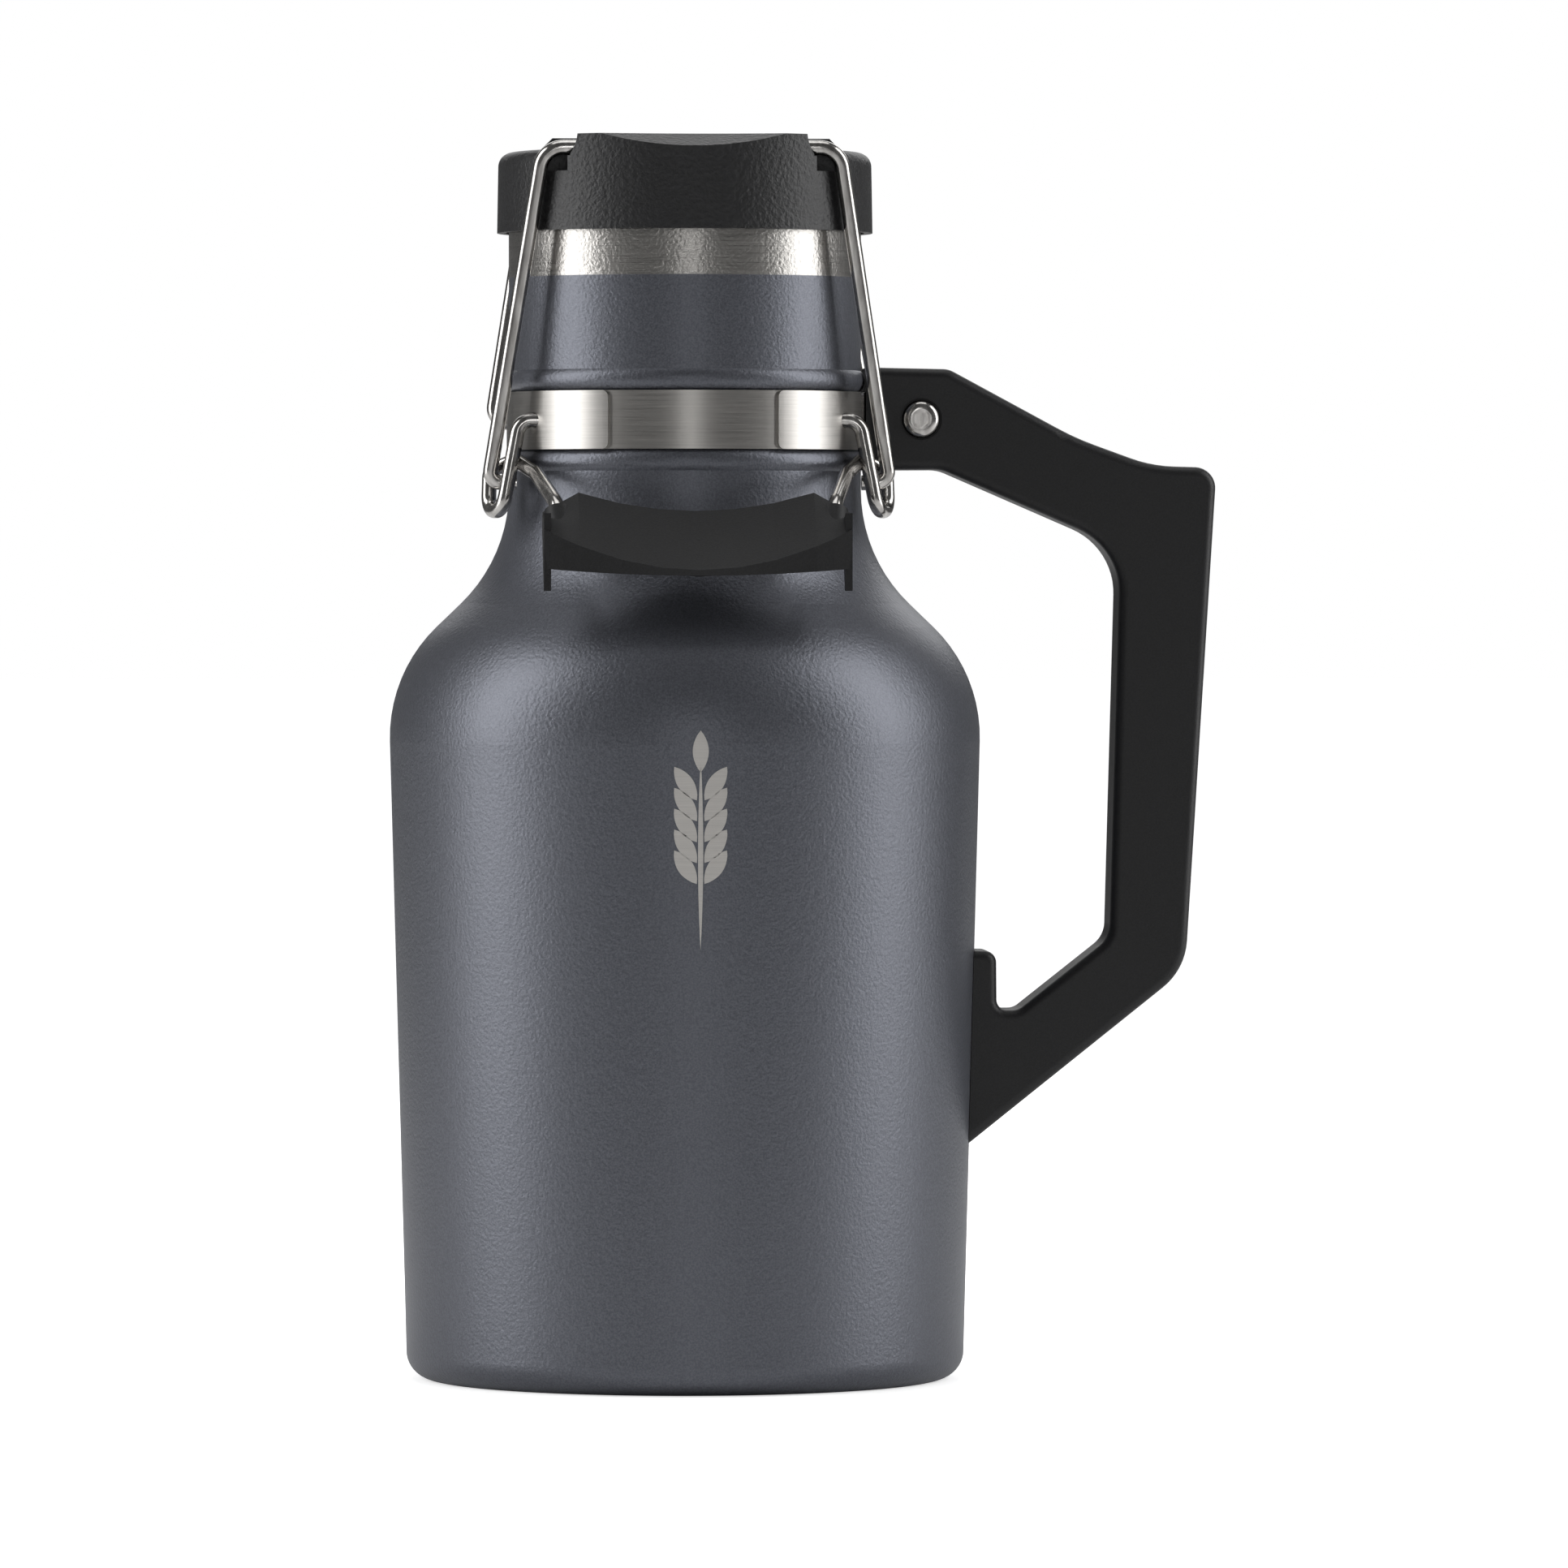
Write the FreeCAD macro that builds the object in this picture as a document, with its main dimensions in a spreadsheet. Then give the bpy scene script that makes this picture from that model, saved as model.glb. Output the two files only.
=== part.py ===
"""Growler: a double-walled steel flask with a side handle and a wire lever closure.

Millimetres, +Z up, origin at the centre of the base. The front (thumb grip) faces -Y and
the handle stands out along +X.
"""

import FreeCAD, Part

import math
import os

Vector = FreeCAD.Vector
Z_AXIS = Vector(0, 0, 1)
X_AXIS = Vector(1, 0, 0)
Y_AXIS = Vector(0, 1, 0)

SIZES = {
    # vessel
    "base_radius": 60.2,
    "body_radius": 63.7,
    "base_corner": 6.0,
    "shoulder_start": 138.5,
    "shoulder_angle": 46.0,
    "shoulder_out": 33.0,
    "shoulder_in": 34.0,
    "neck_radius": 38.0,
    "rim_height": 257.0,
    "wall": 0.8,
    "vacuum_gap": 2.8,
    "liner_floor": 8.0,
    "floor_height": 0.8,
    "foot_inner": 39.0,
    "seal_radius": 8.0,
    "getter_radius": 5.0,
    "getter_offset": 20.0,
    "getter_height": 1.5,
    "bead_crest": 0.8,
    "bead_width": 4.2,
    "lower_bead": 197.8,
    "upper_bead": 215.3,
    "groove_depth": 1.5,
    # band and its plates
    "band_bottom": 200.3,
    "band_height": 12.5,
    "band_inner": 38.05,
    "band_outer": 38.45,
    "plate_outer": 39.15,
    "plate_front": 27.7,
    "plate_side": 73.0,
    "bracket_spread": 14.0,
    "tongue_width": 4.0,
    "tongue_reach": 57.0,
    # wires
    "wire_radius": 1.6,
    "running_gap": 0.06,
    "pivot_y": -20.3,
    "pivot_z": 206.5,
    "eye_y": -17.8,
    "eye_z": 193.2,
    "crossbar_y": -28.0,
    "crossbar_z": 264.6,
    "bail_top_half": 31.6,
    "bail_low_half": 43.0,
    # handle
    "handle_width": 17.0,
    "handle_edge": 2.0,
    "screw_x": 50.5,
    "screw_z": 207.0,
    "screw_radius": 2.5,
    "screw_head": 4.1,
    "nut_flats": 8.0,
    # grip
    "grip_half": 32.6,
    "grip_front": -60.0,
    "grip_back": -47.2,
    "grip_top": 187.0,
    "grip_crest": 174.5,
    "grip_lip": 173.3,
    "grip_plate": 3.4,
    "tie_y": -51.5,
    "tie_z": 179.2,
    # cap
    "skirt_bottom": 247.1,
    "skirt_low": 40.5,
    "skirt_high": 40.25,
    "skirt_inner": 38.7,
    "deck_height": 264.4,
    "cap_corner": 3.0,
    "hood_top": 267.4,
    "hood_half": 24.5,
    "hood_foot": 29.0,
    "scoop_depth": 2.8,
    "scoop_half": 34.0,
    "plateau_top": 266.6,
    "plateau_half": 29.6,
    "slot_width": 5.4,
    "slot_floor": 262.8,
    "deck_wall": 1.6,
    "plug_radius": 32.4,
    "plug_bottom": 248.0,
    "plug_wall": 1.8,
    "flange_radius": 38.0,
    "flange_bottom": 257.9,
    "flange_top": 259.6,
}

doc = FreeCAD.newDocument("Growler")
sheet = doc.addObject("Spreadsheet::Sheet", "Sizes")
for row, (alias, value) in enumerate(SIZES.items(), start=1):
    sheet.set(f"A{row}", alias)
    sheet.set(f"B{row}", str(value))
    sheet.setAlias(f"B{row}", alias)
doc.recompute()


def size(alias):
    """One driving dimension, read from the sheet."""
    return float(sheet.get(alias))


parts = []


def keep(obj, label):
    """Label a finished sub-part and list it for export."""
    obj.Label = label
    parts.append(obj)
    return obj


def feature(label, shape):
    """A sub-part whose shape Part's own functions make from the sheet's sizes."""
    obj = doc.addObject("Part::Feature", label)
    obj.Shape = shape.removeSplitter()
    obj.Placement = FreeCAD.Placement()
    return keep(obj, label)


def cylinder(name, radius, height, base_z, base_x="0"):
    """An upright Part::Cylinder bound to the sheet by four expressions."""
    obj = doc.addObject("Part::Cylinder", name)
    obj.setExpression("Radius", radius)
    obj.setExpression("Height", height)
    obj.setExpression("Placement.Base.z", base_z)
    obj.setExpression("Placement.Base.x", base_x)
    return obj


def cut(name, base, tool):
    """A Part::Cut of two document objects."""
    obj = doc.addObject("Part::Cut", name)
    obj.Base = base
    obj.Tool = tool
    return obj


def ring(name, outer, inner, height, base_z):
    """A flat ring as the difference of two bound cylinders."""
    body = cylinder(name + "_outer", outer, height, base_z)
    hole = cylinder(name + "_inner", inner, height, base_z)
    return cut(name, body, hole)


def point(x, z):
    """A point of the XZ plane."""
    return Vector(x, 0, z)


def line(start, end):
    return Part.makeLine(start, end)


def arc(start, middle, end):
    return Part.Arc(start, middle, end).toShape()


def revolve(edges):
    """The solid that a closed XZ profile sweeps about the Z axis."""
    face = Part.Face(Part.Wire(edges))
    return face.revolve(Vector(0, 0, 0), Z_AXIS, 360)


def tube(inner, outer, bottom, height):
    """A plain ring-shaped solid."""
    body = Part.makeCylinder(outer, height, Vector(0, 0, bottom))
    return body.cut(Part.makeCylinder(inner, height, Vector(0, 0, bottom)))


def rounded_path(corners, closed=False):
    """Edges through corners given as (point, radius), with an arc at each rounded corner."""
    count = len(corners)
    starts = []
    ends = []
    arcs = []
    for index, (corner, radius) in enumerate(corners):
        is_end = not closed and index in (0, count - 1)
        if radius == 0 or is_end:
            starts.append(corner)
            ends.append(corner)
            arcs.append(None)
            continue
        before = (corners[index - 1][0] - corner).normalize()
        after = (corners[(index + 1) % count][0] - corner).normalize()
        half_angle = before.getAngle(after) / 2
        reach = radius / math.tan(half_angle)
        bisector = (before + after).normalize()
        middle = corner + bisector * (radius / math.sin(half_angle) - radius)
        starts.append(corner + before * reach)
        ends.append(corner + after * reach)
        arcs.append(arc(starts[-1], middle, ends[-1]))
    edges = []
    for index in range(count):
        if arcs[index]:
            edges.append(arcs[index])
        following = (index + 1) % count
        if following or closed:
            edges.append(line(ends[index], starts[following]))
    return edges


def wire_solid(corners, radius):
    """A round wire along a rounded path."""
    path = Part.Wire(rounded_path(corners))
    start = corners[0][0]
    direction = corners[1][0] - start
    section = Part.Wire(Part.makeCircle(radius, start, direction))
    return path.makePipeShell([section], True, False)


def mirrored_x(shape):
    return shape.mirror(Vector(0, 0, 0), X_AXIS)


# ---------------------------------------------------------------- vessel


def side_edges(inset, bottom, top, with_beads):
    """The vessel's side from bottom to top, moved inwards by inset, as a list of edges."""
    angle = math.radians(size("shoulder_angle"))
    start_z = size("shoulder_start")
    out_radius = size("shoulder_out")
    in_radius = size("shoulder_in")
    neck = size("neck_radius")
    taper = (size("body_radius") - size("base_radius")) / (start_z - size("base_corner"))
    drop = (out_radius + in_radius) * (1 - math.cos(angle))
    straight = (size("body_radius") - neck - drop) / math.sin(angle)
    out_centre = point(size("body_radius") - out_radius, start_z)
    unit = point(math.cos(angle), math.sin(angle))
    along = point(-math.sin(angle), math.cos(angle))
    in_centre = out_centre + unit * (out_radius + in_radius) + along * straight
    convex = out_radius - inset
    concave = in_radius + inset
    half = point(math.cos(angle / 2), math.sin(angle / 2))
    low = point(size("base_radius") + taper * (bottom - size("base_corner")) - inset, bottom)
    lean = math.atan(taper)
    first = out_centre + point(math.cos(lean), -math.sin(lean)) * convex
    second = out_centre + unit * convex
    third = in_centre - unit * concave
    fourth = in_centre - X_AXIS * concave
    edges = [
        line(low, first),
        arc(first, out_centre + half * convex, second),
        line(second, third),
        arc(third, in_centre - half * concave, fourth),
    ]
    last = fourth
    if with_beads:
        beads, last = neck_edges(fourth, inset)
        edges += beads
    edges.append(line(last, point(neck - inset, top)))
    return edges


def neck_edges(start, inset):
    """The lower bead, the groove behind the band and the upper bead."""
    neck = size("neck_radius") - inset
    half = size("bead_width") / 2
    low = size("lower_bead")
    high = size("upper_bead")
    crest = neck + size("bead_crest")
    groove = neck - size("groove_depth")
    ramp = size("groove_depth") / 2
    lower_end = point(neck, low + half)
    upper_start = point(neck, high - half)
    upper_end = point(neck, high + half)
    groove_low = point(groove, low + half + 2 * ramp)
    groove_high = point(groove, high - half - 2 * ramp)
    lower_start = point(neck, low - half)
    edges = [
        line(start, lower_start),
        arc(lower_start, point(crest, low), lower_end),
        line(lower_end, groove_low),
        line(groove_low, groove_high),
        line(groove_high, upper_start),
        arc(upper_start, point(crest, high), upper_end),
    ]
    return edges, upper_end


def filled_side(inset, bottom, top, with_beads):
    """The vessel's side as a full solid of revolution."""
    edges = side_edges(inset, bottom, top, with_beads)
    low = edges[0].Vertexes[0].Point
    high = point(size("neck_radius") - inset, top)
    edges.append(line(high, point(0, top)))
    edges.append(line(point(0, top), point(0, bottom)))
    edges.append(line(point(0, bottom), low))
    return revolve(edges)


def make_outer_shell():
    wall = size("wall")
    bottom = size("base_corner")
    rim = size("rim_height")
    outside = filled_side(0, bottom, rim, True)
    rounded = outside.makeFillet(1.2, [top_edge(outside, rim)])
    inside = filled_side(wall, bottom, rim - wall, True)
    liner_outer = size("neck_radius") - wall - size("vacuum_gap")
    mouth = Part.makeCylinder(liner_outer, 4 * wall, Vector(0, 0, rim - 2 * wall))
    feature("outer_shell", rounded.cut(inside).cut(mouth))


def top_edge(shape, height):
    """The circular edge of a shape at one height."""
    for edge in shape.Edges:
        box = edge.BoundBox
        if abs(box.ZMin - height) < 1e-4 and abs(box.ZMax - height) < 1e-4 and box.XLength > 1:
            return edge
    raise ValueError("no edge at that height")


def make_inner_liner():
    wall = size("wall")
    inset = wall + size("vacuum_gap")
    floor = size("liner_floor")
    rim = size("rim_height")
    outside = filled_side(inset, floor, rim, False)
    inside = filled_side(inset + wall, floor + wall, rim + wall, False)
    corner = size("base_corner")
    outside = outside.makeFillet(corner, [top_edge(outside, floor)])
    inside = inside.makeFillet(corner - wall, [top_edge(inside, floor + wall)])
    feature("inner_liner", outside.cut(inside))


def make_base_cup():
    """The pressed bottom: a foot ring, a raised floor and a rounded corner."""
    radius = size("base_radius")
    corner = size("base_corner")
    wall = size("wall")
    floor = size("floor_height")
    foot = size("foot_inner")
    hole = size("seal_radius") / 4
    centre = point(radius - corner, corner)
    diagonal = point(math.sqrt(0.5), -math.sqrt(0.5))
    edges = [
        line(point(hole, floor), point(foot - floor, floor)),
        line(point(foot - floor, floor), point(foot, 0)),
        line(point(foot, 0), point(radius - corner, 0)),
        arc(point(radius - corner, 0), centre + diagonal * corner, point(radius, corner)),
        line(point(radius, corner), point(radius - wall, corner)),
        arc(
            point(radius - wall, corner),
            centre + diagonal * (corner - wall),
            point(radius - corner, wall),
        ),
        line(point(radius - corner, wall), point(foot + wall, wall)),
        line(point(foot + wall, wall), point(foot - floor + wall, floor + wall)),
        line(point(foot - floor + wall, floor + wall), point(hole, floor + wall)),
        line(point(hole, floor + wall), point(hole, floor)),
    ]
    feature("base_cup", revolve(edges))


def make_vacuum_parts():
    seal = cylinder("SealDisc", "Sizes.seal_radius", "Sizes.wall", "Sizes.floor_height - Sizes.wall")
    keep(seal, "vacuum_seal_disc")
    getter = cylinder(
        "GetterPuck",
        "Sizes.getter_radius",
        "Sizes.getter_height",
        "Sizes.floor_height + Sizes.wall",
        "Sizes.getter_offset",
    )
    keep(getter, "getter")


# ---------------------------------------------------------------- band and plates


def pivot_hole(y_sign):
    """A hole along X through both sides at the height of the lever's pivots."""
    radius = size("wire_radius") + size("running_gap")
    start = Vector(-60, size("pivot_y") * y_sign, size("pivot_z"))
    return Part.makeCylinder(radius, 120, start, X_AXIS)


def curved_plate(inner, outer, start_angle, end_angle):
    """A plate that follows the band between two angles from +X, with rounded corners."""
    bottom = size("band_bottom")
    height = size("band_height")
    sector = Part.makeCylinder(
        outer, height, Vector(0, 0, bottom), Z_AXIS, end_angle - start_angle
    )
    sector.rotate(Vector(0, 0, 0), Z_AXIS, start_angle)
    core = Part.makeCylinder(inner, height, Vector(0, 0, bottom))
    plate = sector.cut(core)
    corners = []
    for edge in plate.Edges:
        box = edge.BoundBox
        if box.ZLength < 1e-4 and abs(edge.Length - (outer - inner)) < 1e-4:
            corners.append(edge)
    return plate.makeFillet(1.4, corners)


def make_band():
    bottom = size("band_bottom")
    body = tube(size("band_inner"), size("band_outer"), bottom, size("band_height"))
    feature("neck_band", body.cut(pivot_hole(1)).cut(pivot_hole(-1)))


def make_plates():
    inner = size("band_outer")
    outer = size("plate_outer")
    front = size("plate_front")
    side = size("plate_side")
    right = curved_plate(inner, outer, -90 + front, -90 + side).cut(pivot_hole(1))
    rear_right = curved_plate(inner, outer, 90 - side, 90 - front).cut(pivot_hole(-1))
    feature("pivot_plate_right", right)
    feature("pivot_plate_left", mirrored_x(right))
    feature("rear_plate_right", rear_right)
    feature("rear_plate_left", mirrored_x(rear_right))


def make_handle_bracket():
    """A curved plate on the band with one tongue that enters the handle."""
    spread = size("bracket_spread")
    width = size("tongue_width")
    bottom = size("band_bottom")
    height = size("band_height")
    plate = curved_plate(size("band_outer"), size("plate_outer"), -spread, spread)
    reach = size("tongue_reach") - size("plate_outer") + 0.5
    tongue = Part.makeBox(
        reach, width, height, Vector(size("plate_outer") - 0.5, -width / 2, bottom)
    )
    screw_hole = Part.makeCylinder(
        size("screw_radius"), 20, Vector(size("screw_x"), -10, size("screw_z")), Y_AXIS
    )
    feature("handle_bracket", plate.fuse(tongue).cut(screw_hole))


# ---------------------------------------------------------------- handle


def handle_outline():
    """The handle's side view: corners as (point, rounding)."""
    return [
        (point(37, 218.2), 0),
        (point(56.6, 217.8), 5),
        (point(84.0, 203.0), 60),
        (point(100.5, 197.0), 30),
        (point(114.6, 196.6), 4.5),
        (point(107.9, 88.2), 14),
        (point(57.5, 48.0), 0),
        (point(57.5, 92.4), 0),
        (point(66.9, 92.4), 2.6),
        (point(67.0, 79.6), 2.2),
        (point(71.6, 79.6), 3.5),
        (point(91.4, 95.2), 6),
        (point(93.7, 179.3), 15),
        (point(55.0, 196.1), 8),
        (point(37, 196.0), 0),
    ]


def make_handle():
    width = size("handle_width")
    outline = Part.Wire(rounded_path(handle_outline(), closed=True))
    outline.translate(Vector(0, -width / 2, 0))
    body = Part.Face(outline).extrude(Y_AXIS * width)
    rim_edges = []
    for edge in body.Edges:
        box = edge.BoundBox
        if box.YLength < 1e-4 and box.XMin > 40:
            rim_edges.append(edge)
    try:
        body = body.makeFillet(size("handle_edge"), rim_edges)
    except Part.OCCError:
        body = body.makeChamfer(size("handle_edge") / 2, rim_edges)
    gap = size("running_gap")
    vessel = filled_side(-gap, size("base_corner"), size("rim_height"), False)
    collar = Part.makeCylinder(size("plate_outer") + 0.4, 40, Vector(0, 0, 190))
    slot = Part.makeBox(
        size("tongue_reach") + 0.5,
        size("tongue_width") + 2 * gap,
        size("band_height") + 2 * gap,
        Vector(0, -size("tongue_width") / 2 - gap, size("band_bottom") - gap),
    )
    x = size("screw_x")
    z = size("screw_z")
    half = width / 2
    shank = Part.makeCylinder(size("screw_radius"), width + 2, Vector(x, -half - 1, z), Y_AXIS)
    recess = Part.makeCylinder(size("screw_head") + 0.4, 2, Vector(x, -half - 1, z), Y_AXIS)
    pocket = nut_prism(size("nut_flats") + 0.2, 3.2)
    for tool in (vessel, collar, slot, shank, recess, pocket):
        body = body.cut(tool)
    feature("handle", body)


def nut_prism(flats, depth):
    """A hexagonal prism at the back of the handle's upper arm."""
    radius = flats / math.sqrt(3)
    x = size("screw_x")
    z = size("screw_z")
    back = size("handle_width") / 2 + 0.2
    corners = []
    for index in range(7):
        angle = math.radians(60 * index)
        corners.append(Vector(x + radius * math.cos(angle), back, z + radius * math.sin(angle)))
    return Part.Face(Part.makePolygon(corners)).extrude(Y_AXIS * -depth)


def make_handle_screw():
    """A button-head screw: domed head, hexagonal socket and shank."""
    x = size("screw_x")
    z = size("screw_z")
    half = size("handle_width") / 2
    head_radius = size("screw_head")
    seat = -half + 1
    shank = Part.makeCylinder(size("screw_radius"), 2 * half - 1.4, Vector(x, seat, z), Y_AXIS)
    head_height = 2.3
    dome = Part.makeCylinder(head_radius, head_height, Vector(x, seat, z), Y_AXIS * -1)
    front = None
    for edge in dome.Edges:
        if edge.BoundBox.YLength < 1e-4 and edge.BoundBox.YMin < seat - 1:
            front = edge
    dome = dome.makeFillet(1.9, [front])
    corners = []
    for index in range(7):
        angle = math.radians(60 * index + 30)
        offset = Vector(1.75 * math.cos(angle), 0, 1.75 * math.sin(angle))
        corners.append(Vector(x, seat - head_height, z) + offset)
    socket = Part.Face(Part.makePolygon(corners)).extrude(Y_AXIS * 1.5)
    feature("handle_screw", shank.fuse(dome).cut(socket))


def make_handle_nut():
    x = size("screw_x")
    z = size("screw_z")
    hole = Part.makeCylinder(size("screw_radius"), 40, Vector(x, -20, z), Y_AXIS)
    feature("handle_nut", nut_prism(size("nut_flats"), 3.1).cut(hole))


# ---------------------------------------------------------------- wires and grip


def lever_side_path():
    """The right half of the lever wire, from the pivot tip to its end in the grip."""
    pivot_y = size("pivot_y")
    pivot_z = size("pivot_z")
    eye_y = size("eye_y")
    eye_z = size("eye_z")
    strand_gap = 3.65
    front_y = eye_y - strand_gap
    back_y = eye_y + strand_gap
    loop_z = eye_z - 6.0
    return [
        (Vector(31.7, pivot_y, pivot_z), 0),
        (Vector(36.5, pivot_y, pivot_z), 3.2),
        (Vector(40.1, front_y, loop_z), 3.4),
        (Vector(42.9, back_y, loop_z), 3.4),
        (Vector(42.6, back_y + 0.5, eye_z + 2.6), 2.2),
        (Vector(37.2, eye_y + 1.4, eye_z + 4.9), 2.6),
        (Vector(33.2, -27.0, eye_z + 2.0), 8.0),
        (Vector(29.6, -44.4, 188.7), 5.0),
        (Vector(28.4, size("tie_y"), size("tie_z")), 2.4),
    ]


def make_lever_wire():
    """One wire from pivot to pivot, with its middle running through the grip."""
    right = lever_side_path()
    left = [(Vector(-corner.x, corner.y, corner.z), radius) for corner, radius in right]
    feature("lever_wire", wire_solid(right + left[::-1], size("wire_radius")))


def grip_section(x):
    """The grip's cross-section at one distance from its middle, a sloping thick plate."""
    share = x / size("grip_half")
    bow = share * share
    front = size("grip_front") + 5.0 * bow
    back = size("grip_back") + 1.6 * bow
    outer = max(0.0, abs(x) - 25.0)
    top = size("grip_top") + 3.9 * min(1.0, (x / 25.0) ** 2) - 0.55 * outer
    crest = size("grip_crest") + 8.6 * bow
    lip = size("grip_lip") + 1.5 * bow
    slope = Vector(0, front - back, crest - top).normalize()
    inward = Vector(0, -slope.z, slope.y) * size("grip_plate")
    if inward.z > 0:
        inward = inward * -1
    ridge = Vector(x, back, top)
    edge = Vector(x, front, crest)
    corners = [
        ridge,
        edge,
        Vector(x, front + 0.4, lip),
        Vector(x, front + 2.6, lip),
        edge + inward + slope * -1.5,
        ridge + inward + slope * 0.6,
    ]
    return Part.makePolygon(corners + [corners[0]])


def make_lever_grip():
    half = size("grip_half")
    stations = [-1.0, -0.88, -0.7665, -0.5, -0.25, 0, 0.25, 0.5, 0.7665, 0.88, 1.0]
    sections = [grip_section(share * half) for share in stations]
    plate = Part.makeLoft(sections, True, True)
    corner_z = size("grip_lip") - 3.2
    leg_profile = [
        Vector(half - 1.5, size("grip_front") + 5.2, 186.5),
        Vector(half - 1.5, size("grip_front") + 5.2, corner_z),
        Vector(half - 1.5, size("grip_front") + 7.4, corner_z),
        Vector(half - 1.5, size("grip_back") + 3.6, 184.0),
    ]
    leg = Part.Face(Part.makePolygon(leg_profile + [leg_profile[0]])).extrude(X_AXIS * 1.5)
    end = lever_side_path()[-1][0]
    before = lever_side_path()[-2][0]
    along = (end - before).normalize()
    wire_radius = size("wire_radius")
    boss = Part.makeCylinder(wire_radius + 1.3, 8.6, before + along * 2.2, along)
    rib_half = end.x
    rib = Part.makeCylinder(
        wire_radius + 1.0, 2 * rib_half, Vector(-rib_half, end.y, end.z), X_AXIS
    )
    solid = plate.fuse([leg, mirrored_x(leg), boss, mirrored_x(boss), rib])
    wire = doc.getObject("lever_wire").Shape
    feature("lever_grip", solid.cut(wire))


def make_front_bail():
    top_y = size("crossbar_y")
    top_z = size("crossbar_z")
    top_half = size("bail_top_half")
    low_half = size("bail_low_half")
    eye_y = size("eye_y")
    eye_z = size("eye_z")
    corners = [
        (Vector(37.0, eye_y, eye_z), 0),
        (Vector(low_half, eye_y, eye_z), 2.4),
        (Vector(top_half, top_y, top_z), 5.0),
        (Vector(-top_half, top_y, top_z), 5.0),
        (Vector(-low_half, eye_y, eye_z), 2.4),
        (Vector(-37.0, eye_y, eye_z), 0),
    ]
    feature("front_bail", wire_solid(corners, size("wire_radius")))


def make_rear_bail():
    top_y = -size("crossbar_y")
    top_z = size("crossbar_z")
    top_half = size("bail_top_half")
    hook_y = -size("pivot_y")
    hook_z = size("pivot_z")
    corners = [
        (Vector(31.7, hook_y, hook_z), 0),
        (Vector(41.0, hook_y, hook_z), 3.2),
        (Vector(top_half, top_y, top_z), 5.0),
        (Vector(-top_half, top_y, top_z), 5.0),
        (Vector(-41.0, hook_y, hook_z), 3.2),
        (Vector(-31.7, hook_y, hook_z), 0),
    ]
    feature("rear_bail", wire_solid(corners, size("wire_radius")))


# ---------------------------------------------------------------- cap


def cap_blank():
    """The cap's skirt and deck, hollow below."""
    low = size("skirt_low")
    high = size("skirt_high")
    bottom = size("skirt_bottom")
    deck = size("deck_height")
    round_radius = size("cap_corner")
    inner = size("skirt_inner")
    roof = size("flange_top")
    shoulder = point(high, deck - round_radius)
    deck_edge = point(high - round_radius, deck)
    diagonal = point(math.sqrt(0.5), math.sqrt(0.5)) * round_radius
    edges = [
        line(point(inner, bottom), point(low, bottom)),
        line(point(low, bottom), shoulder),
        arc(shoulder, point(high - round_radius, deck - round_radius) + diagonal, deck_edge),
        line(deck_edge, point(0, deck)),
        line(point(0, deck), point(0, roof)),
        line(point(0, roof), point(inner, roof)),
        line(point(inner, roof), point(inner, bottom)),
    ]
    return revolve(edges)


def foam_cavity():
    """The pocket above the plug that takes the top of the foam."""
    radius = size("plug_radius") - size("plug_wall")
    roof = size("flange_top")
    height = size("slot_floor") - size("deck_wall") - roof
    return Part.makeCylinder(radius, height, Vector(0, 0, roof))


def raised_block(half_top, half_foot, top, front, back, concave):
    """A raised block on the deck, its sides flared, kept inside the cap's outline."""
    foot_z = size("deck_height") - size("cap_corner") - 1
    right_foot = point(half_foot, foot_z)
    right_top = point(half_top, top)
    if concave:
        knee = point(half_top + 0.9, top - 3.2)
        right = arc(right_foot, knee, right_top)
        left = arc(point(-half_top, top), point(-knee.x, knee.z), point(-half_foot, foot_z))
    else:
        right = line(right_foot, right_top)
        left = line(point(-half_top, top), point(-half_foot, foot_z))
    edges = [right, line(right_top, point(-half_top, top)), left]
    edges.append(line(point(-half_foot, foot_z), right_foot))
    profile = Part.Wire(edges)
    profile.translate(Vector(0, front, 0))
    block = Part.Face(profile).extrude(Y_AXIS * (back - front))
    outline = Part.makeCylinder(size("skirt_high"), 20, Vector(0, 0, foot_z - 5))
    return block.common(outline)


def front_hood():
    """The raised lip in front of the wire's slot, with a scooped thumb recess."""
    slot_front = size("crossbar_y") - size("slot_width") / 2
    top = size("hood_top")
    front = -size("skirt_high")
    hood = raised_block(size("hood_half"), size("hood_foot"), top, front - 1, slot_front, True)
    depth = size("scoop_depth")
    half = size("scoop_half")
    radius = (half * half + depth * depth) / (2 * depth)
    run = slot_front - front - 1.5
    slope = Vector(0, run, depth).normalize()
    upward = Vector(0, -slope.z, slope.y)
    middle = Vector(0, front, top - depth) + upward * radius
    scoop = Part.makeCylinder(radius, 60, middle - slope * 30, slope)
    return hood.cut(scoop)


def make_cap_shell():
    cap = cap_blank()
    slot_half = size("slot_width") / 2
    slot_y = size("crossbar_y")
    floor = size("slot_floor")
    below_deck = size("cap_corner") + 1
    hood = front_hood()
    plateau = raised_block(
        size("plateau_half"),
        size("plateau_half") + size("plateau_top") - size("deck_height") + below_deck,
        size("plateau_top"),
        slot_y + slot_half,
        -slot_y - slot_half,
        False,
    )
    rear_hood = hood.mirror(Vector(0, 0, 0), Y_AXIS)
    cap = cap.fuse([hood, rear_hood, plateau])
    for side in (1, -1):
        start = side * slot_y - slot_half
        groove = Part.makeBox(100, 2 * slot_half, 10, Vector(-50, start, floor))
        cap = cap.cut(groove)
        for end in (26.6, -46.6):
            notch = Part.makeBox(20, 2 * slot_half, 14, Vector(end, start, floor - 3.2))
            cap = cap.cut(notch)
    feature("cap_shell", cap.cut(foam_cavity()))


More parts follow.
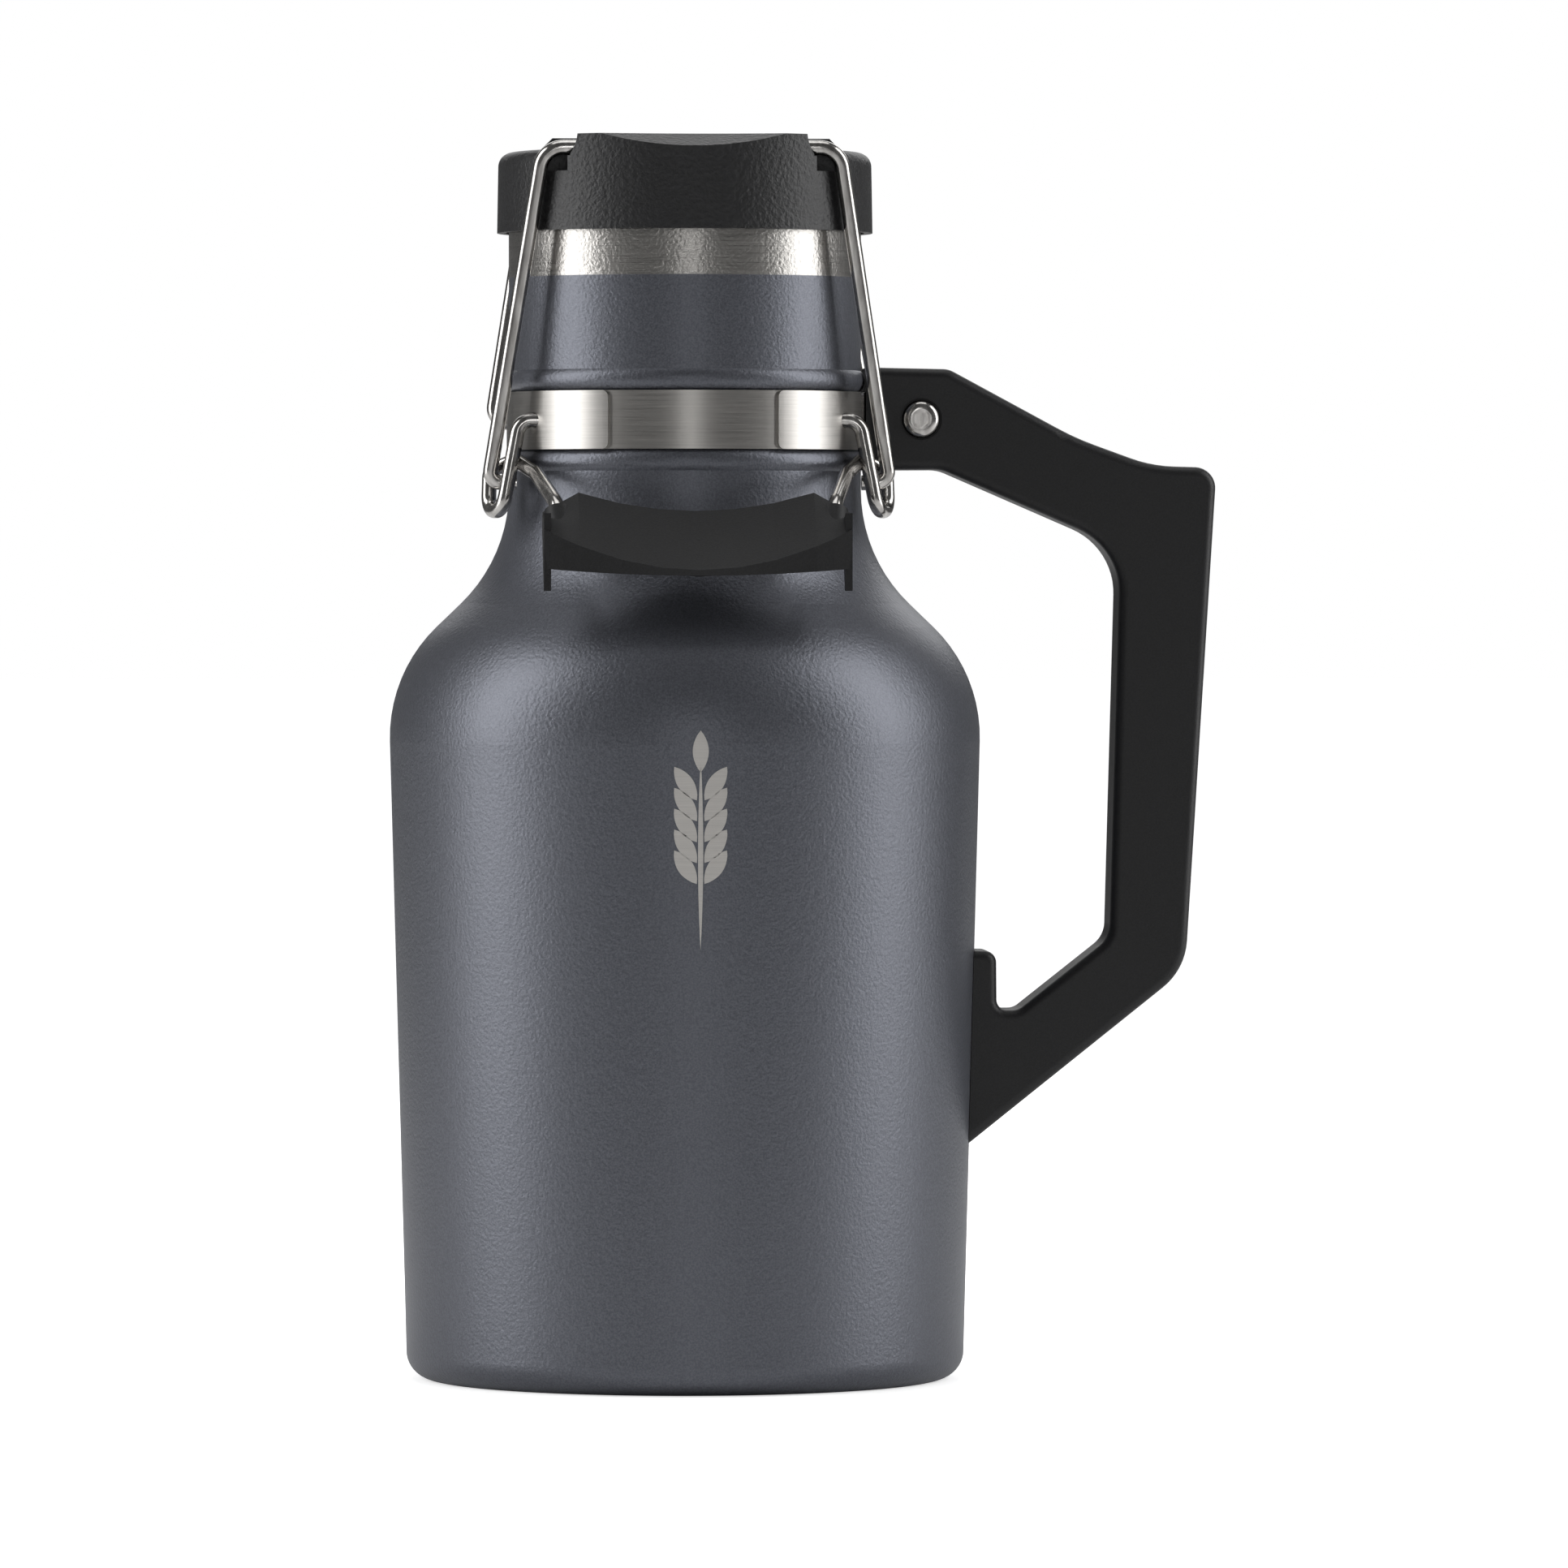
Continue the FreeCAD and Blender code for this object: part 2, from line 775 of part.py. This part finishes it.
def make_cap_inside():
    """The plug with its flange, the sealing ring and the foam disc."""
    radius = size("plug_radius")
    wall = size("plug_wall")
    bottom = size("plug_bottom")
    flange = size("flange_bottom")
    top = size("flange_top")
    profile = [
        point(0, bottom),
        point(radius, bottom),
        point(radius, flange),
        point(size("flange_radius"), flange),
        point(size("flange_radius"), top),
        point(radius - wall, top),
        point(radius - wall, bottom + wall),
        point(0, bottom + wall),
    ]
    edges = [line(a, b) for a, b in zip(profile, profile[1:] + profile[:1])]
    feature("cap_plug", revolve(edges))
    gasket = ring(
        "GasketRing",
        "Sizes.neck_radius - Sizes.running_gap * 4",
        "Sizes.plug_radius + Sizes.running_gap",
        "Sizes.flange_bottom - Sizes.rim_height",
        "Sizes.rim_height",
    )
    keep(gasket, "cap_gasket")
    foam = cylinder(
        "FoamDisc",
        "Sizes.plug_radius - Sizes.plug_wall - Sizes.running_gap",
        "Sizes.slot_floor - Sizes.deck_wall - Sizes.running_gap - Sizes.plug_bottom"
        " - Sizes.plug_wall",
        "Sizes.plug_bottom + Sizes.plug_wall",
    )
    keep(foam, "cap_insulation")


make_outer_shell()
make_inner_liner()
make_base_cup()
make_vacuum_parts()
make_band()
make_plates()
make_handle_bracket()
make_handle()
make_handle_screw()
make_handle_nut()
make_lever_wire()
make_lever_grip()
make_front_bail()
make_rear_bail()
make_cap_shell()
make_cap_inside()
doc.recompute()

for obj in doc.Objects:
    if "Invalid" in obj.State or "Error" in obj.State:
        raise RuntimeError(f"{obj.Name} failed to compute")
for obj in parts:
    if obj.Shape.isNull() or not obj.Shape.isValid() or not obj.Shape.Solids:
        raise RuntimeError(f"{obj.Label} has no valid solid")

os.makedirs("parts", exist_ok=True)
for obj in parts:
    obj.Shape.exportStep(f"parts/{obj.Label}.step")
    print(obj.Label, len(obj.Shape.Solids), round(obj.Shape.Volume, 1))
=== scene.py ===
import math

import bmesh
import bpy
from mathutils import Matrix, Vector

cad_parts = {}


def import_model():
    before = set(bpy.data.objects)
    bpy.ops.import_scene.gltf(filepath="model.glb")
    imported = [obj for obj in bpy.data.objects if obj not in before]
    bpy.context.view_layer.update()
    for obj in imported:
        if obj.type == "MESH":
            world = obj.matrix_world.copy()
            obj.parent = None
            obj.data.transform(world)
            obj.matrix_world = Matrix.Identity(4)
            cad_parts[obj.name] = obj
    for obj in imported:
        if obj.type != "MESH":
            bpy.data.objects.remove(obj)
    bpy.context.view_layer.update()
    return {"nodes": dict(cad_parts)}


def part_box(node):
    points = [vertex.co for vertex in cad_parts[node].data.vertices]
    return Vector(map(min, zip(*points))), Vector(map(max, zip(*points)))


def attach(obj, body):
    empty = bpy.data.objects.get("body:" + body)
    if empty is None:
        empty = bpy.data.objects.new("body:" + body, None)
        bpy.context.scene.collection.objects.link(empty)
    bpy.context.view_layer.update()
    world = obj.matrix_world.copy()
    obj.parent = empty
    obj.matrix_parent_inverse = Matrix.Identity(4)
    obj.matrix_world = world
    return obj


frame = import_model()
nodes = frame["nodes"]

# ---------------------------------------------------------------- named values, in metres

# The shell's paint stops this far below its rim, and fades out across twice the half width.
BARE_STEEL_BELOW_RIM = 0.0196
PAINT_EDGE_HALF_WIDTH = 0.0001
PAINT_DARK = (0.105, 0.11, 0.128, 1)
PAINT_MIDDLE = (0.122, 0.128, 0.148, 1)
PAINT_LIGHT = (0.15, 0.157, 0.18, 1)
PAINT_ROUGHNESS = (0.34, 0.46)
PAINT_METALLIC = 0.7

# Steel's red, green and blue shares, and how much each gains in a bright streak.
STEEL_TINT = (1.0, 0.97, 0.93)
STREAK_GAIN = (0.15, 0.145, 0.135)
STREAK_RANGE = (0.2, 0.8)
LIP_DARK = (0.33, 0.32, 0.305, 1)
LIP_BRIGHT = (0.47, 0.455, 0.435, 1)
LIP_ROUGHNESS = (0.2, 0.4)
WIRE_DARK = (0.4, 0.385, 0.37, 1)
WIRE_BRIGHT = (0.58, 0.565, 0.545, 1)

# Plastic's darkest and lightest shades, as shares of its tone.
PLASTIC_DARK = (0.8, 0.8, 0.86)
PLASTIC_LIGHT = (1.25, 1.25, 1.36)
FOAM_DARK = (0.8, 0.78, 0.72, 1)
FOAM_LIGHT = (0.9, 0.88, 0.82, 1)

# The ear of barley: a stem, leaning grains in pairs up it, and one upright grain on top.
MOTIF_PROUD = 0.00008
MOTIF_RAY_START = -0.2
LEAF_STEPS = 10
LEAF_FULLNESS = 0.8
LOWEST_GRAIN = 0.1085
GRAIN_PAIRS = 5
GRAIN_SPACING = 0.0044
GRAIN_OFFSET = 0.0008
GRAIN_LENGTH = 0.0085
GRAIN_WIDTH = 0.0034
GRAIN_LEAN = math.radians(34)
TOP_GRAIN_RISE = 0.0235
TOP_GRAIN_LENGTH = 0.0088
STEM_DROP = 0.014
STEM_LENGTH = 0.0405
STEM_WIDTH = 0.0011

# The camera stands in front, turned a little towards -X, and aims to the right of the axis.
CAMERA_DISTANCE = 2.4
CAMERA_HEIGHT = 0.175
CAMERA_TURN = math.radians(3.0)
CAMERA_FIELD = math.radians(8.07)
CAMERA_REACH = 100
AIM_RIGHT = 0.0214
AIM_HEIGHT = 0.1283

# The floor glows less near the vessel, so that its shadow shows, and is white further off.
FLOOR_SIZE = 30
FLOOR_GLOW = 0.6
FLOOR_GLOW_RADIUS = 0.09
FLOOR_WHITE_RADIUS = 0.3
ROOM_LEVEL = 0.1
BACKDROP_LEVEL = 1.0

# Each light's name, place, width, height and power in watts.
LIGHT_TARGET = (0, 0, 0.14)
SOFT_BOXES = [
    ("left_box", (-1.0, -0.15, 0.56), 0.6, 1.2, 9),
    ("right_box", (1.0, -0.15, 0.56), 0.6, 1.2, 8.5),
    ("top_box", (0, 0.1, 1.4), 1.0, 0.8, 4),
    ("front_strip", (0.02, -2.1, 0.3), 0.14, 1.1, 2.2),
    ("back_box", (0.2, 1.3, 0.9), 1.4, 0.9, 6),
]

# ---------------------------------------------------------------- material builder


class Shader:
    """A small builder for one Principled material."""

    def __init__(self, name):
        self.material = bpy.data.materials.new(name)
        self.material.use_nodes = True
        self.tree = self.material.node_tree
        self.principled = self.tree.nodes["Principled BSDF"]
        self.coords = self.tree.nodes.new("ShaderNodeTexCoord").outputs["Object"]

    def node(self, kind, **settings):
        """A new node with its settings."""
        made = self.tree.nodes.new(kind)
        for key, value in settings.items():
            setattr(made, key, value)
        return made

    def link(self, output, target):
        """Connect an output to an input."""
        self.tree.links.new(output, target)

    def drive(self, output, socket):
        """Connect an output to one of the Principled node's inputs."""
        self.link(output, self.principled.inputs[socket])

    def set(self, **values):
        """Plain values for the Principled node's inputs, with _ for each space."""
        for key, value in values.items():
            self.principled.inputs[key.replace("_", " ")].default_value = value

    def noise(self, scale, detail, stretch=(1, 1, 1), roughness=0.5):
        """Noise in the part's own metres; stretch multiplies its coordinates."""
        mapping = self.node("ShaderNodeMapping")
        mapping.inputs["Scale"].default_value = stretch
        self.link(self.coords, mapping.inputs["Vector"])
        texture = self.node("ShaderNodeTexNoise")
        texture.inputs["Scale"].default_value = scale
        texture.inputs["Detail"].default_value = detail
        texture.inputs["Roughness"].default_value = roughness
        self.link(mapping.outputs["Vector"], texture.inputs["Vector"])
        return texture.outputs["Fac"]

    def streaks(self):
        """Brush marks round the neck: long in X and Y, and fine in Z."""
        return self.noise(scale=60, detail=4.0, stretch=(1, 1, 60), roughness=0.7)

    def ramp(self, value, low, high, start=0.35, end=0.65):
        """Two colours mixed by a value between start and end."""
        made = self.node("ShaderNodeValToRGB")
        made.color_ramp.elements[0].position = start
        made.color_ramp.elements[1].position = end
        made.color_ramp.elements[0].color = low
        made.color_ramp.elements[1].color = high
        self.link(value, made.inputs["Fac"])
        return made.outputs["Color"]

    def spread(self, value, low, high):
        """A 0..1 value mapped to low..high."""
        made = self.node("ShaderNodeMapRange")
        made.inputs["To Min"].default_value = low
        made.inputs["To Max"].default_value = high
        self.link(value, made.inputs["Value"])
        return made.outputs["Result"]

    def step(self, value, start, end):
        """0 below start, 1 above end, and a straight change between them."""
        made = self.node("ShaderNodeMapRange")
        made.inputs["From Min"].default_value = start
        made.inputs["From Max"].default_value = end
        self.link(value, made.inputs["Value"])
        return made.outputs["Result"]

    def mix(self, factor, first, second, kind="FLOAT"):
        """Two outputs, or plain values, mixed by a factor."""
        made = self.node("ShaderNodeMix", data_type=kind)
        self.link(factor, made.inputs["Factor"])
        for socket, source in (("A", first), ("B", second)):
            if isinstance(source, bpy.types.NodeSocket):
                self.link(source, made.inputs[socket])
            else:
                made.inputs[socket].default_value = source
        return made.outputs["Result"]

    def bump(self, height, distance, strength):
        """Bump from a height, at a distance in metres."""
        made = self.node("ShaderNodeBump")
        made.inputs["Distance"].default_value = distance
        made.inputs["Strength"].default_value = strength
        self.link(height, made.inputs["Height"])
        self.drive(made.outputs["Normal"], "Normal")


def grey(value):
    """An opaque grey."""
    return (value, value, value, 1)


def tinted(value, shares):
    """An opaque colour from one value and its red, green and blue shares."""
    return (*[value * share for share in shares], 1)


# ---------------------------------------------------------------- materials


def paint_layer(shader):
    """Slate powder coat's colour and roughness, with a fine orange peel over the whole piece."""
    fleck = shader.noise(scale=2600, detail=1.0)
    cloud = shader.noise(scale=18, detail=3.0)
    flecked = shader.ramp(fleck, PAINT_DARK, PAINT_LIGHT)
    colour = shader.mix(shader.spread(cloud, 0.0, 0.5), flecked, PAINT_MIDDLE, kind="RGBA")
    shader.bump(shader.noise(scale=1300, detail=2.0), distance=0.00016, strength=0.6)
    return colour, shader.spread(fleck, *PAINT_ROUGHNESS)


def powder_paint(name):
    """Slate powder coat all over."""
    shader = Shader(name)
    colour, roughness = paint_layer(shader)
    shader.drive(colour, "Base Color")
    shader.drive(roughness, "Roughness")
    shader.set(Metallic=PAINT_METALLIC)
    return shader.material


def paint_below_steel(name, edge):
    """Slate powder coat up to one height, and bare brushed steel above it."""
    shader = Shader(name)
    paint, paint_roughness = paint_layer(shader)
    place = shader.node("ShaderNodeSeparateXYZ")
    shader.link(shader.coords, place.inputs["Vector"])
    bare = shader.step(place.outputs["Z"], edge - PAINT_EDGE_HALF_WIDTH, edge + PAINT_EDGE_HALF_WIDTH)
    streak = shader.streaks()
    steel = shader.ramp(streak, LIP_DARK, LIP_BRIGHT, *STREAK_RANGE)
    steel_roughness = shader.spread(streak, *LIP_ROUGHNESS)
    shader.drive(shader.mix(bare, paint, steel, kind="RGBA"), "Base Color")
    shader.drive(shader.mix(bare, paint_roughness, steel_roughness), "Roughness")
    shader.drive(shader.mix(bare, PAINT_METALLIC, 1.0), "Metallic")
    return shader.material


def brushed_steel(name, low=0.33, rough=(0.24, 0.4)):
    """Steel brushed round the neck, with low as its darkest red."""
    shader = Shader(name)
    streak = shader.streaks()
    dark = tinted(low, STEEL_TINT)
    bright = (*[part + gain for part, gain in zip(dark, STREAK_GAIN)], 1)
    shader.drive(shader.ramp(streak, dark, bright, *STREAK_RANGE), "Base Color")
    shader.drive(shader.spread(streak, *rough), "Roughness")
    shader.set(Metallic=1.0)
    shader.bump(streak, distance=0.00003, strength=0.5)
    return shader.material


def polished_wire(name):
    """Drawn stainless wire with faint draw marks."""
    shader = Shader(name)
    mark = shader.noise(scale=700, detail=3.0, stretch=(1, 1, 0.2))
    shader.drive(shader.ramp(mark, WIRE_DARK, WIRE_BRIGHT), "Base Color")
    shader.drive(shader.spread(mark, 0.12, 0.26), "Roughness")
    shader.set(Metallic=1.0)
    shader.bump(mark, distance=0.00002, strength=0.4)
    return shader.material


def moulded_plastic(name, tone, grain, height, rough, gloss):
    """Black moulded plastic: a fine grain and a slow change of sheen."""
    shader = Shader(name)
    texture = shader.noise(grain, detail=3.0)
    sheen = shader.noise(scale=35, detail=2.0)
    colour = shader.ramp(texture, tinted(tone, PLASTIC_DARK), tinted(tone, PLASTIC_LIGHT))
    shader.drive(colour, "Base Color")
    shader.drive(shader.spread(sheen, *rough), "Roughness")
    shader.set(Specular_IOR_Level=gloss)
    shader.bump(texture, height, strength=0.6)
    return shader.material


def soft_material(name, low, high, scale, height, rough):
    """Silicone or foam: two near tones, a cell-sized bump and an even sheen."""
    shader = Shader(name)
    texture = shader.noise(scale, detail=4.0)
    shader.drive(shader.ramp(texture, low, high), "Base Color")
    shader.set(Roughness=rough)
    shader.bump(texture, height, strength=0.7)
    return shader.material


def dress(material, *names):
    """Give carried-over CAD nodes a material."""
    for name in names:
        slots = nodes[name].data.materials
        slots.clear()
        slots.append(material)


def dress_steel_and_paint():
    """The vessel, its band and plates, and the wires and fasteners."""
    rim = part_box("outer_shell")[1][2]
    dress(paint_below_steel("shell_paint", rim - BARE_STEEL_BELOW_RIM), "outer_shell")
    dress(powder_paint("base_paint"), "base_cup")
    dress(brushed_steel("liner_steel", rough=(0.28, 0.45)), "inner_liner")
    dress(brushed_steel("vacuum_steel"), "vacuum_seal_disc", "getter")
    dress(brushed_steel("band_steel"), "neck_band")
    plates = ["pivot_plate_left", "pivot_plate_right", "rear_plate_left", "rear_plate_right"]
    dress(brushed_steel("plate_steel", low=0.35), *plates, "handle_bracket")
    wires = ["lever_wire", "front_bail", "rear_bail"]
    dress(polished_wire("wire_steel"), *wires, "handle_screw", "handle_nut")


def dress_plastic_and_soft():
    """The cap, handle and grip, and the cap's seal and foam."""
    cap = moulded_plastic("cap_black", tone=0.01, grain=1100, height=0.0004, rough=(0.38, 0.5), gloss=0.5)
    dress(cap, "cap_shell", "cap_plug")
    satin = {"tone": 0.009, "grain": 2600}
    handle = moulded_plastic("handle_black", height=0.00006, rough=(0.42, 0.5), gloss=0.4, **satin)
    dress(handle, "handle")
    grip = moulded_plastic("grip_black", height=0.00005, rough=(0.45, 0.55), gloss=0.35, **satin)
    dress(grip, "lever_grip")
    silicone = soft_material("silicone", grey(0.68), grey(0.76), scale=900, height=0.00005, rough=0.45)
    dress(silicone, "cap_gasket")
    foam = soft_material("foam", FOAM_DARK, FOAM_LIGHT, scale=1400, height=0.0004, rough=0.9)
    dress(foam, "cap_insulation")


# ---------------------------------------------------------------- engraved motif


def shell_point(x, z):
    """The point of the shell's front at one width and height, a hair proud of the paint."""
    start = Vector((x, MOTIF_RAY_START, z))
    hit, place, normal, _ = nodes["outer_shell"].ray_cast(start, Vector((0, 1, 0)))
    if not hit:
        raise ValueError("the motif runs off the shell")
    return place + normal * MOTIF_PROUD


def add_leaf(mesh, x, z, length, width, turn):
    """A pointed leaf on the shell, as a strip of faces on each side of its middle line."""
    previous = None
    for index in range(LEAF_STEPS + 1):
        along = index / LEAF_STEPS
        half = 0.5 * width * math.sin(math.pi * along) ** LEAF_FULLNESS
        row = []
        for side in (-half, 0.0, half):
            reach = along * length
            row_x = x + reach * math.sin(turn) + side * math.cos(turn)
            row_z = z + reach * math.cos(turn) - side * math.sin(turn)
            row.append(mesh.verts.new(shell_point(row_x, row_z)))
        if previous:
            for first in (0, 1):
                mesh.faces.new((previous[first], previous[first + 1], row[first + 1], row[first]))
        previous = row


def barley_motif():
    """A generic ear of barley, laser engraved through the paint to bare steel."""
    mesh = bmesh.new()
    add_leaf(mesh, 0, LOWEST_GRAIN - STEM_DROP, STEM_LENGTH, STEM_WIDTH, 0.0)
    for pair in range(GRAIN_PAIRS):
        z = LOWEST_GRAIN + pair * GRAIN_SPACING
        for side in (-1, 1):
            add_leaf(mesh, side * GRAIN_OFFSET, z, GRAIN_LENGTH, GRAIN_WIDTH, side * GRAIN_LEAN)
    add_leaf(mesh, 0, LOWEST_GRAIN + TOP_GRAIN_RISE, TOP_GRAIN_LENGTH, GRAIN_WIDTH, 0.0)
    bmesh.ops.remove_doubles(mesh, verts=mesh.verts, dist=1e-6)
    bmesh.ops.recalc_face_normals(mesh, faces=mesh.faces)
    data = bpy.data.meshes.new("engraved_barley")
    mesh.to_mesh(data)
    mesh.free()
    piece = bpy.data.objects.new("engraved_barley", data)
    bpy.context.scene.collection.objects.link(piece)
    data.materials.append(brushed_steel("engraving_steel", low=0.5, rough=(0.4, 0.55)))
    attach(piece, "root")


# ---------------------------------------------------------------- studio


def soft_box(name, place, width, height, power):
    """A rectangular area light aimed at the middle of the vessel."""
    data = bpy.data.lights.new(name, "AREA")
    data.shape = "RECTANGLE"
    data.size = width
    data.size_y = height
    data.energy = power
    light = bpy.data.objects.new(name, data)
    light.location = place
    aim = Vector(LIGHT_TARGET) - Vector(place)
    light.rotation_euler = aim.to_track_quat("-Z", "Y").to_euler()
    bpy.context.scene.collection.objects.link(light)


def floor_glow(shader):
    """The floor's glow, seen by the camera only and growing with distance from the vessel."""
    away = shader.node("ShaderNodeVectorMath", operation="LENGTH")
    shader.link(shader.coords, away.inputs["Vector"])
    fade = shader.node("ShaderNodeMapRange")
    fade.inputs["From Min"].default_value = FLOOR_GLOW_RADIUS
    fade.inputs["From Max"].default_value = FLOOR_WHITE_RADIUS
    fade.inputs["To Min"].default_value = FLOOR_GLOW
    fade.inputs["To Max"].default_value = 1.0
    shader.link(away.outputs["Value"], fade.inputs["Value"])
    seen = shader.node("ShaderNodeLightPath")
    glow = shader.node("ShaderNodeMath", operation="MULTIPLY")
    shader.link(seen.outputs["Is Camera Ray"], glow.inputs[0])
    shader.link(fade.outputs["Result"], glow.inputs[1])
    return glow.outputs["Value"]


def floor():
    """A wide pale floor."""
    bpy.ops.mesh.primitive_plane_add(size=FLOOR_SIZE, location=(0, 0, 0))
    plane = bpy.context.object
    plane.name = "studio_floor"
    shader = Shader("floor_white")
    tint = shader.noise(scale=3, detail=1.0)
    shader.drive(shader.ramp(tint, grey(0.9), grey(0.93)), "Base Color")
    shader.drive(floor_glow(shader), "Emission Strength")
    shader.set(Roughness=0.9, Emission_Color=grey(1.0))
    plane.data.materials.append(shader.material)


def world():
    """White to the camera, and a soft grey room to everything else."""
    made = bpy.data.worlds.new("studio")
    bpy.context.scene.world = made
    made.use_nodes = True
    tree = made.node_tree
    background = tree.nodes["Background"]
    seen = tree.nodes.new("ShaderNodeLightPath")
    level = tree.nodes.new("ShaderNodeMapRange")
    level.inputs["To Min"].default_value = ROOM_LEVEL
    level.inputs["To Max"].default_value = BACKDROP_LEVEL
    tree.links.new(seen.outputs["Is Camera Ray"], level.inputs["Value"])
    tree.links.new(level.outputs["Result"], background.inputs["Strength"])
    background.inputs["Color"].default_value = grey(1)


def camera():
    """A long lens at the viewing angle, aimed a little to the right of the vessel's axis."""
    data = bpy.data.cameras.new("camera")
    data.angle = CAMERA_FIELD
    data.clip_end = CAMERA_REACH
    made = bpy.data.objects.new("camera", data)
    made.location = (
        -CAMERA_DISTANCE * math.sin(CAMERA_TURN),
        -CAMERA_DISTANCE * math.cos(CAMERA_TURN),
        CAMERA_HEIGHT,
    )
    rightward = Vector((math.cos(CAMERA_TURN), -math.sin(CAMERA_TURN), 0))
    aim = rightward * AIM_RIGHT + Vector((0, 0, AIM_HEIGHT))
    made.rotation_euler = (aim - made.location).to_track_quat("-Z", "Y").to_euler()
    bpy.context.scene.collection.objects.link(made)
    bpy.context.scene.camera = made


def studio():
    """The floor, backdrop, camera and soft lights."""
    floor()
    world()
    camera()
    for name, place, width, height, power in SOFT_BOXES:
        soft_box(name, place, width, height, power)
    bpy.context.scene.view_settings.view_transform = "Standard"


dress_steel_and_paint()
dress_plastic_and_soft()
barley_motif()
studio()
